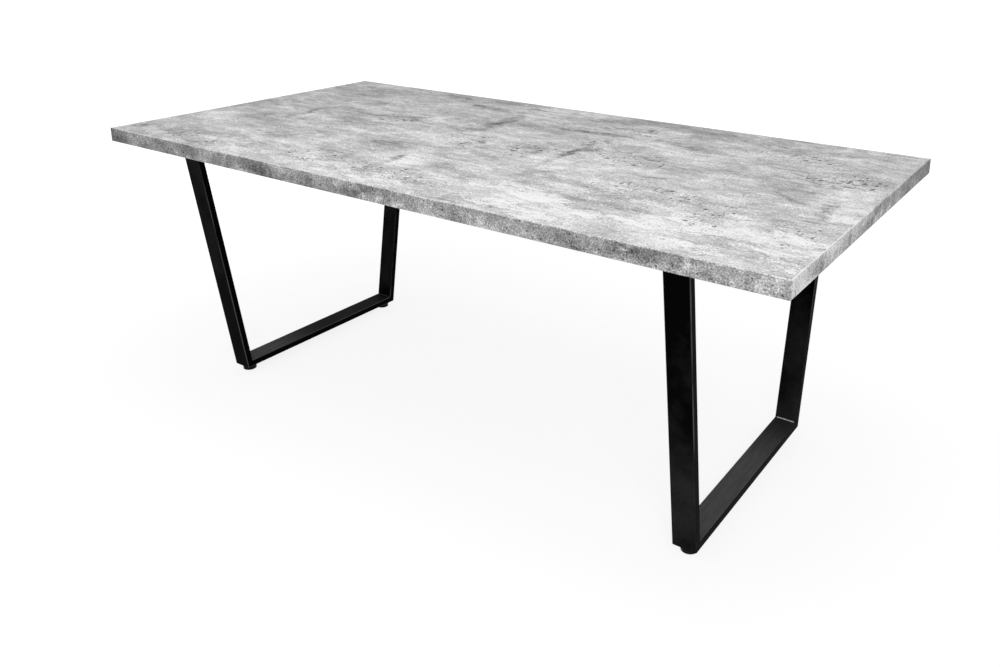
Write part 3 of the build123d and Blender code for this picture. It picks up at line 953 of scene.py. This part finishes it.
def screw_tree():
    """Round head screws with a cross recess, pointing up, each seated under one point."""
    sizes = ("Head Radius", "Head Height", "Shank Radius", "Shank Length")
    tree, given = tree_inputs("guide screws", sizes)
    factors = (
        ("Cutter Radius", "Head Radius", 2.0),
        ("Cutter Height", "Head Height", 2.0),
        ("Head End", "Head Height", -1.0),
        ("Slot Length", "Head Radius", 1.1),
        ("Slot Width", "Head Radius", 0.24),
        ("Tip Radius", "Shank Radius", 0.3),
    )
    lengths = lengths_of(tree, given, factors)

    # The head is the lower half of a flattened ball
    low = add(tree, VECTOR, {"Z": lengths["Head End"]})
    ball = add(tree, "GeometryNodeMeshUVSphere", {"Segments": 36, "Rings": 18, "Radius": 1.0})
    flattened = add(tree, VECTOR, (given["Head Radius"], given["Head Radius"], given["Head Height"]))
    dome = add(tree, TRANSFORM, {"Geometry": ball, "Scale": flattened})
    cylinder = {"Vertices": 8, "Radius": lengths["Cutter Radius"], "Depth": lengths["Cutter Height"]}
    cutter = add(tree, "GeometryNodeMeshCylinder", cylinder)
    below = add(tree, TRANSFORM, {"Geometry": cutter, "Translation": low})
    head = add(tree, BOOLEAN, {"Mesh 2": [dome, below]}, operation="INTERSECT", solver="EXACT")

    # The shank tapers to its tip
    taper = {
        "Vertices": 24,
        "Radius Top": lengths["Tip Radius"],
        "Radius Bottom": given["Shank Radius"],
        "Depth": given["Shank Length"],
    }
    shank = add(tree, TRANSFORM, {"Geometry": add(tree, CONE, taper), "Translation": (0, 0, -OVERLAP)})
    headed = add(tree, BOOLEAN, {"Mesh 2": [head, shank]}, operation="UNION", solver="EXACT")

    # Two slots make the cross recess
    slot_size = add(tree, VECTOR, (lengths["Slot Length"], lengths["Slot Width"], given["Head Height"]))
    slot = add(tree, "GeometryNodeMeshCube", {"Size": slot_size})
    slots = []
    for turn in (0, math.pi / 2):
        seat = {"Geometry": slot, "Translation": low, "Rotation": (0, 0, turn)}
        slots.append(add(tree, TRANSFORM, seat))
    screw = {"Mesh 1": headed, "Mesh 2": slots}
    screw = add(tree, BOOLEAN, screw, operation="DIFFERENCE", solver="EXACT")
    spread(tree, given, screw)
    return tree


def fasten(name, tree, points, sizes, *nodes):
    """Places zinc plated fasteners under points, as long as those of the CAD nodes that they replace."""
    low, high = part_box(nodes[0])
    seat = points[0][2]
    reach = {"Head Height": seat - low.z, "Shank Length": high.z - seat + OVERLAP}
    values = sizes | reach | {"Material": finish_of("zinc plated steel")}
    place(name, grow(tree, points_mesh(name, points), values), "table", "zinc_steel", *nodes)


def rounded(node, finish):
    """A copy of a CAD node's mesh with its sharp edges rounded."""
    shape = bmesh.new()
    shape.from_mesh(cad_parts[node].data)
    bmesh.ops.remove_doubles(shape, verts=shape.verts, dist=SAME_CAD_POINT)
    bmesh.ops.dissolve_limit(shape, angle_limit=FLAT_ANGLE, verts=shape.verts, edges=shape.edges)
    closed = [edge for edge in shape.edges if edge.is_manifold]
    bmesh.ops.bevel(
        shape,
        geom=[edge for edge in closed if edge.calc_face_angle() > SHARP_ANGLE],
        offset=PLUG_ROUND,
        offset_type="OFFSET",
        segments=3,
        profile=0.5,
        affect="EDGES",
        clamp_overlap=True,
    )
    return to_mesh(shape, node, finish)


# Operators


class DINING_TABLE_OT_finish_top(bpy.types.Operator):
    """Give the top board and its edge bands their concrete print"""

    bl_idname = "dining_table.finish_top"
    bl_label = "Finish Top"

    def execute(self, context):
        decor = context.scene.dining_table.decor
        coat_nodes(concrete_laminate(decor), "top_board")
        long_band = concrete_edge(decor, "concrete edge band", "X", 0.0, 0.0)
        end_band = concrete_edge(decor, "concrete end band", "Y", 0.75, 0.62)
        coat_nodes(long_band, "front_edge_band", "back_edge_band")
        coat_nodes(end_band, "left_edge_band", "right_edge_band")
        return {"FINISHED"}


class DINING_TABLE_OT_finish_frames(bpy.types.Operator):
    """Powder coat the leg frames and their plates"""

    bl_idname = "dining_table.finish_frames"
    bl_label = "Finish Frames"

    def execute(self, context):
        finish = finish_of("powder coated steel")
        for side in SIDES:
            coat_nodes(finish, f"{side}_floor_rail")
        for leg in LEGS:
            coat_nodes(finish, f"{leg}_post", f"{leg}_leg_plate")
        return {"FINISHED"}


class DINING_TABLE_OT_add_welds(bpy.types.Operator):
    """Add the weld beads of the leg frames"""

    bl_idname = "dining_table.add_welds"
    bl_label = "Add Welds"

    def execute(self, context):
        steel = context.scene.dining_table.steel
        tree, corner = weld_tree(), steel.tube_corner
        values = {"Ripple": steel.bead_ripple}
        plates = {"Bead Radius": steel.bead_radius, "Material": finish_of("powder coated steel")}
        # The mitre beads carry the painted weld highlight
        mitres = {"Bead Radius": steel.mitre_bead, "Material": finish_of("bare steel weld")}
        place("plate_welds", grow(tree, plate_paths(corner), values | plates), "table", "black_steel")
        place("mitre_welds", grow(tree, mitre_paths(corner), values | mitres), "table", "zinc_steel")
        return {"FINISHED"}


class DINING_TABLE_OT_add_bolts(bpy.types.Operator):
    """Add the bolts that hold the leg plates to the top"""

    bl_idname = "dining_table.add_bolts"
    bl_label = "Add Bolts"

    def execute(self, context):
        hardware = context.scene.dining_table.hardware
        edge = hardware.bolt_edge
        points = []
        for leg in LEGS:
            low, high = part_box(f"{leg}_leg_plate")
            for x in (low.x + edge, high.x - edge):
                points += [(x, y, low.z) for y in (low.y + edge, high.y - edge)]
        sizes = {
            "Flats": hardware.bolt_flats,
            "Flange Radius": hardware.bolt_flange,
            "Flange Height": hardware.flange_height,
            "Shank Radius": hardware.bolt_radius,
        }
        fasten("plate_bolts", bolt_tree(), points, sizes, "left_leg_bolts", "right_leg_bolts")
        return {"FINISHED"}


class DINING_TABLE_OT_add_screws(bpy.types.Operator):
    """Add the screws that hold the bearer guides under the top"""

    bl_idname = "dining_table.add_screws"
    bl_label = "Add Screws"

    def execute(self, context):
        hardware = context.scene.dining_table.hardware
        inset = hardware.guide_flange / 2
        points = []
        for leg in LEGS:
            for guide in GUIDES:
                low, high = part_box(f"{leg}_{guide}_guide")
                seat = high.z - hardware.guide_wall
                points += [((low.x + high.x) / 2, y, seat) for y in (low.y + inset, high.y - inset)]
        sizes = {"Head Radius": hardware.screw_head, "Shank Radius": hardware.screw_radius}
        fasten("bearer_screws", screw_tree(), points, sizes, "left_guide_screws", "right_guide_screws")
        return {"FINISHED"}


class DINING_TABLE_OT_finish_threads(bpy.types.Operator):
    """Zinc plate the threaded inserts and the rivet nuts"""

    bl_idname = "dining_table.finish_threads"
    bl_label = "Finish Threads"

    def execute(self, context):
        for side in SIDES:
            coat_nodes(finish_of("zinc plated steel"), f"{side}_threaded_inserts", f"{side}_foot_nuts")
        return {"FINISHED"}


class DINING_TABLE_OT_add_foot_pads(bpy.types.Operator):
    """Add the turned pads of the levelling feet"""

    bl_idname = "dining_table.add_foot_pads"
    bl_label = "Add Foot Pads"

    def execute(self, context):
        feet = context.scene.dining_table.feet
        finish = finish_of("moulded foot plastic")
        for leg in LEGS:
            node = f"{leg}_foot_pad"
            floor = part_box(f"{leg}_foot_stud")[0].z - feet.clearance
            mesh = turned(node, middle_of(node), pad_rows(feet, *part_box(node), floor), finish)
            place(f"{leg}_pad", mesh, f"{leg}_foot", "foot_plastic", node)
        return {"FINISHED"}


class DINING_TABLE_OT_add_foot_studs(bpy.types.Operator):
    """Add the threaded studs of the levelling feet"""

    bl_idname = "dining_table.add_foot_studs"
    bl_label = "Add Foot Studs"

    def execute(self, context):
        feet = context.scene.dining_table.feet
        finish = finish_of("zinc plated steel")
        for leg in LEGS:
            node = f"{leg}_foot_stud"
            hex_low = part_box(f"{leg}_foot_pad")[1].z + feet.clearance
            mesh = turned(node, middle_of(node), stud_rows(feet, *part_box(node), hex_low), finish)
            place(f"{leg}_stud_screw", mesh, f"{leg}_stud", "zinc_steel", node)
        return {"FINISHED"}


class DINING_TABLE_OT_finish_bearers(bpy.types.Operator):
    """Powder coat the pull-out bearers and their guides, and add their plastic caps and stops"""

    bl_idname = "dining_table.finish_bearers"
    bl_label = "Finish Bearers"

    def execute(self, context):
        steel, plastic = finish_of("powder coated steel"), finish_of("moulded plug plastic")
        gap = context.scene.dining_table.feet.stop_gap
        for side, inward in zip(SIDES, (1, -1)):
            body, caps = f"{side}_bearer", f"{side}_crossbar_caps"
            coat_nodes(steel, f"{side}_crossbar")
            place(f"{side}_bar_caps", rounded(caps, plastic), body, "black_plastic", caps)
            for row in ROWS:
                leg, stop = f"{side}_{row}", f"{side}_{row}_arm_stop"
                coat_nodes(steel, f"{leg}_bearer_arm", *[f"{leg}_{guide}_guide" for guide in GUIDES])
                plug = rounded(stop, plastic)
                plug.transform(Matrix.Translation((inward * gap, 0, 0)))
                place(f"{leg}_arm_plug", plug, body, "black_plastic", stop)
        return {"FINISHED"}


# Stage

SENSOR_WIDTH = 36
VIEW_REACH = 200
FLOOR_REACH = 40

# Softboxes: where they aim, and of each its name, place, size and the setting of its power
AIM = Vector((0, 0, 0.3))
SOFTBOXES = (
    ("overhead softbox", (0.1, -0.2, 3.3), (3.2, 2.6), "softbox_power"),
    ("front softbox", (2.3, -2.9, 2.2), (1.6, 1.6), "key_power"),
)


def add_camera(context, stage):
    """A camera with a shifted lens, turned by its yaw, pitch and roll."""
    data = bpy.data.cameras.new("camera")
    data.sensor_width = SENSOR_WIDTH
    data.lens = stage.lens
    data.shift_x, data.shift_y = stage.shift
    data.clip_end = VIEW_REACH
    level = math.cos(stage.pitch)
    ahead = Vector((-math.sin(stage.yaw) * level, math.cos(stage.yaw) * level, math.sin(stage.pitch)))
    right = ahead.cross(Vector((0, 0, 1))).normalized()
    up = right.cross(ahead)
    turn = Matrix.Rotation(stage.roll, 3, -ahead)
    axes = Matrix((turn @ right, turn @ up, -ahead)).transposed()
    camera = bpy.data.objects.new("camera", data)
    camera.matrix_world = Matrix.Translation(stage.eye) @ axes.to_4x4()
    context.scene.collection.objects.link(camera)
    context.scene.camera = camera


def seen_directly(tree):
    """1 where a ray comes from the camera, a reflection or glass, and 0 where it only carries light."""
    path = add(tree, "ShaderNodeLightPath").outputs
    either = add(tree, MATH, (path["Is Camera Ray"], path["Is Glossy Ray"]), operation="MAXIMUM")
    return add(tree, MATH, (either, path["Is Transmission Ray"]), operation="MAXIMUM")


def add_lights(context, stage):
    """Softboxes overhead and at the front right, and light from all round."""
    for name, spot, size, power in SOFTBOXES:
        data = bpy.data.lights.new(name, "AREA")
        data.shape = "RECTANGLE"
        data.size, data.size_y = size
        data.energy = getattr(stage, power)
        lamp = bpy.data.objects.new(name, data)
        lamp.location = spot
        lamp.rotation_euler = (AIM - Vector(spot)).to_track_quat("-Z", "Y").to_euler()
        lamp.visible_camera = False
        context.scene.collection.objects.link(lamp)
    world = bpy.data.worlds.new("studio")
    world.use_nodes = True
    tree = world.node_tree
    strength = add(tree, RANGE, {"Value": seen_directly(tree), "To Min": stage.sky_light})
    wire(tree, tree.nodes["Background"], {"Color": WHITE, "Strength": strength})
    context.scene.world = world


def add_floor(context, stage):
    """A pale floor that keeps a faint shadow near the table and runs into the white behind it."""
    mesh = bpy.data.meshes.new("floor")
    corners = [(x * FLOOR_REACH, y * FLOOR_REACH, 0) for x, y in ((-1, -1), (1, -1), (1, 1), (-1, 1))]
    mesh.from_pydata(corners, [], [(0, 1, 2, 3)])
    finish, tree, shader, where = new_finish("matt painted floor")
    tree.nodes.remove(shader)
    far = add(tree, VECTOR_MATH, (where,), operation="LENGTH")
    glow = {"Value": far, "From Min": 1.2, "From Max": 3.2, "To Min": 0.7}
    glow = add(tree, RANGE, glow, interpolation_type="SMOOTHSTEP")
    glow_seen = add(tree, MATH, (glow, seen_directly(tree)), operation="MULTIPLY")
    paint = add(tree, "ShaderNodeBsdfDiffuse", {"Color": stage.floor})
    white = add(tree, "ShaderNodeEmission", {"Color": WHITE, "Strength": 1.2})
    mixed = add(tree, "ShaderNodeMixShader", (glow_seen, paint, white))
    wire(tree, tree.nodes["Material Output"], {"Surface": mixed})
    mesh.materials.append(finish)
    floor = bpy.data.objects.new("floor", mesh)
    context.scene.collection.objects.link(floor)


class DINING_TABLE_OT_build_stage(bpy.types.Operator):
    """Add the camera, the soft lights and the pale floor"""

    bl_idname = "dining_table.build_stage"
    bl_label = "Build Stage"

    def execute(self, context):
        stage = context.scene.dining_table.stage
        context.scene.view_settings.view_transform = "Standard"
        add_camera(context, stage)
        add_lights(context, stage)
        add_floor(context, stage)
        return {"FINISHED"}


# Panel and registration

OPERATORS = (
    DINING_TABLE_OT_finish_top,
    DINING_TABLE_OT_finish_frames,
    DINING_TABLE_OT_add_welds,
    DINING_TABLE_OT_add_bolts,
    DINING_TABLE_OT_add_screws,
    DINING_TABLE_OT_finish_threads,
    DINING_TABLE_OT_add_foot_pads,
    DINING_TABLE_OT_add_foot_studs,
    DINING_TABLE_OT_finish_bearers,
    DINING_TABLE_OT_build_stage,
)


class DINING_TABLE_PT_sidebar(bpy.types.Panel):
    """The table's operators and settings"""

    bl_idname = "DINING_TABLE_PT_sidebar"
    bl_label = "Dining Table"
    bl_space_type = "VIEW_3D"
    bl_region_type = "UI"
    bl_category = "Table"

    def draw(self, context):
        look = context.scene.dining_table
        for operator in OPERATORS:
            self.layout.operator(operator.bl_idname)
        for group in (look.decor, look.steel, look.hardware, look.feet, look.stage):
            box = self.layout.box()
            for name in group.__annotations__:
                box.prop(group, name)


CLASSES = (
    DecorSettings,
    SteelSettings,
    HardwareSettings,
    FootSettings,
    StageSettings,
    TableSettings,
    *OPERATORS,
    DINING_TABLE_PT_sidebar,
)


def register():
    """Registers the classes and their settings."""
    for kind in CLASSES:
        bpy.utils.register_class(kind)
    bpy.types.Scene.dining_table = PointerProperty(type=TableSettings)


def unregister():
    """Takes the settings and the classes away again."""
    del bpy.types.Scene.dining_table
    for kind in reversed(CLASSES):
        bpy.utils.unregister_class(kind)


def main():
    """Registers the settings and builds the table's looks in order."""
    register()
    for operator in OPERATORS:
        group, name = operator.bl_idname.split(".")
        getattr(getattr(bpy.ops, group), name)()


if __name__ == "__main__":
    main()
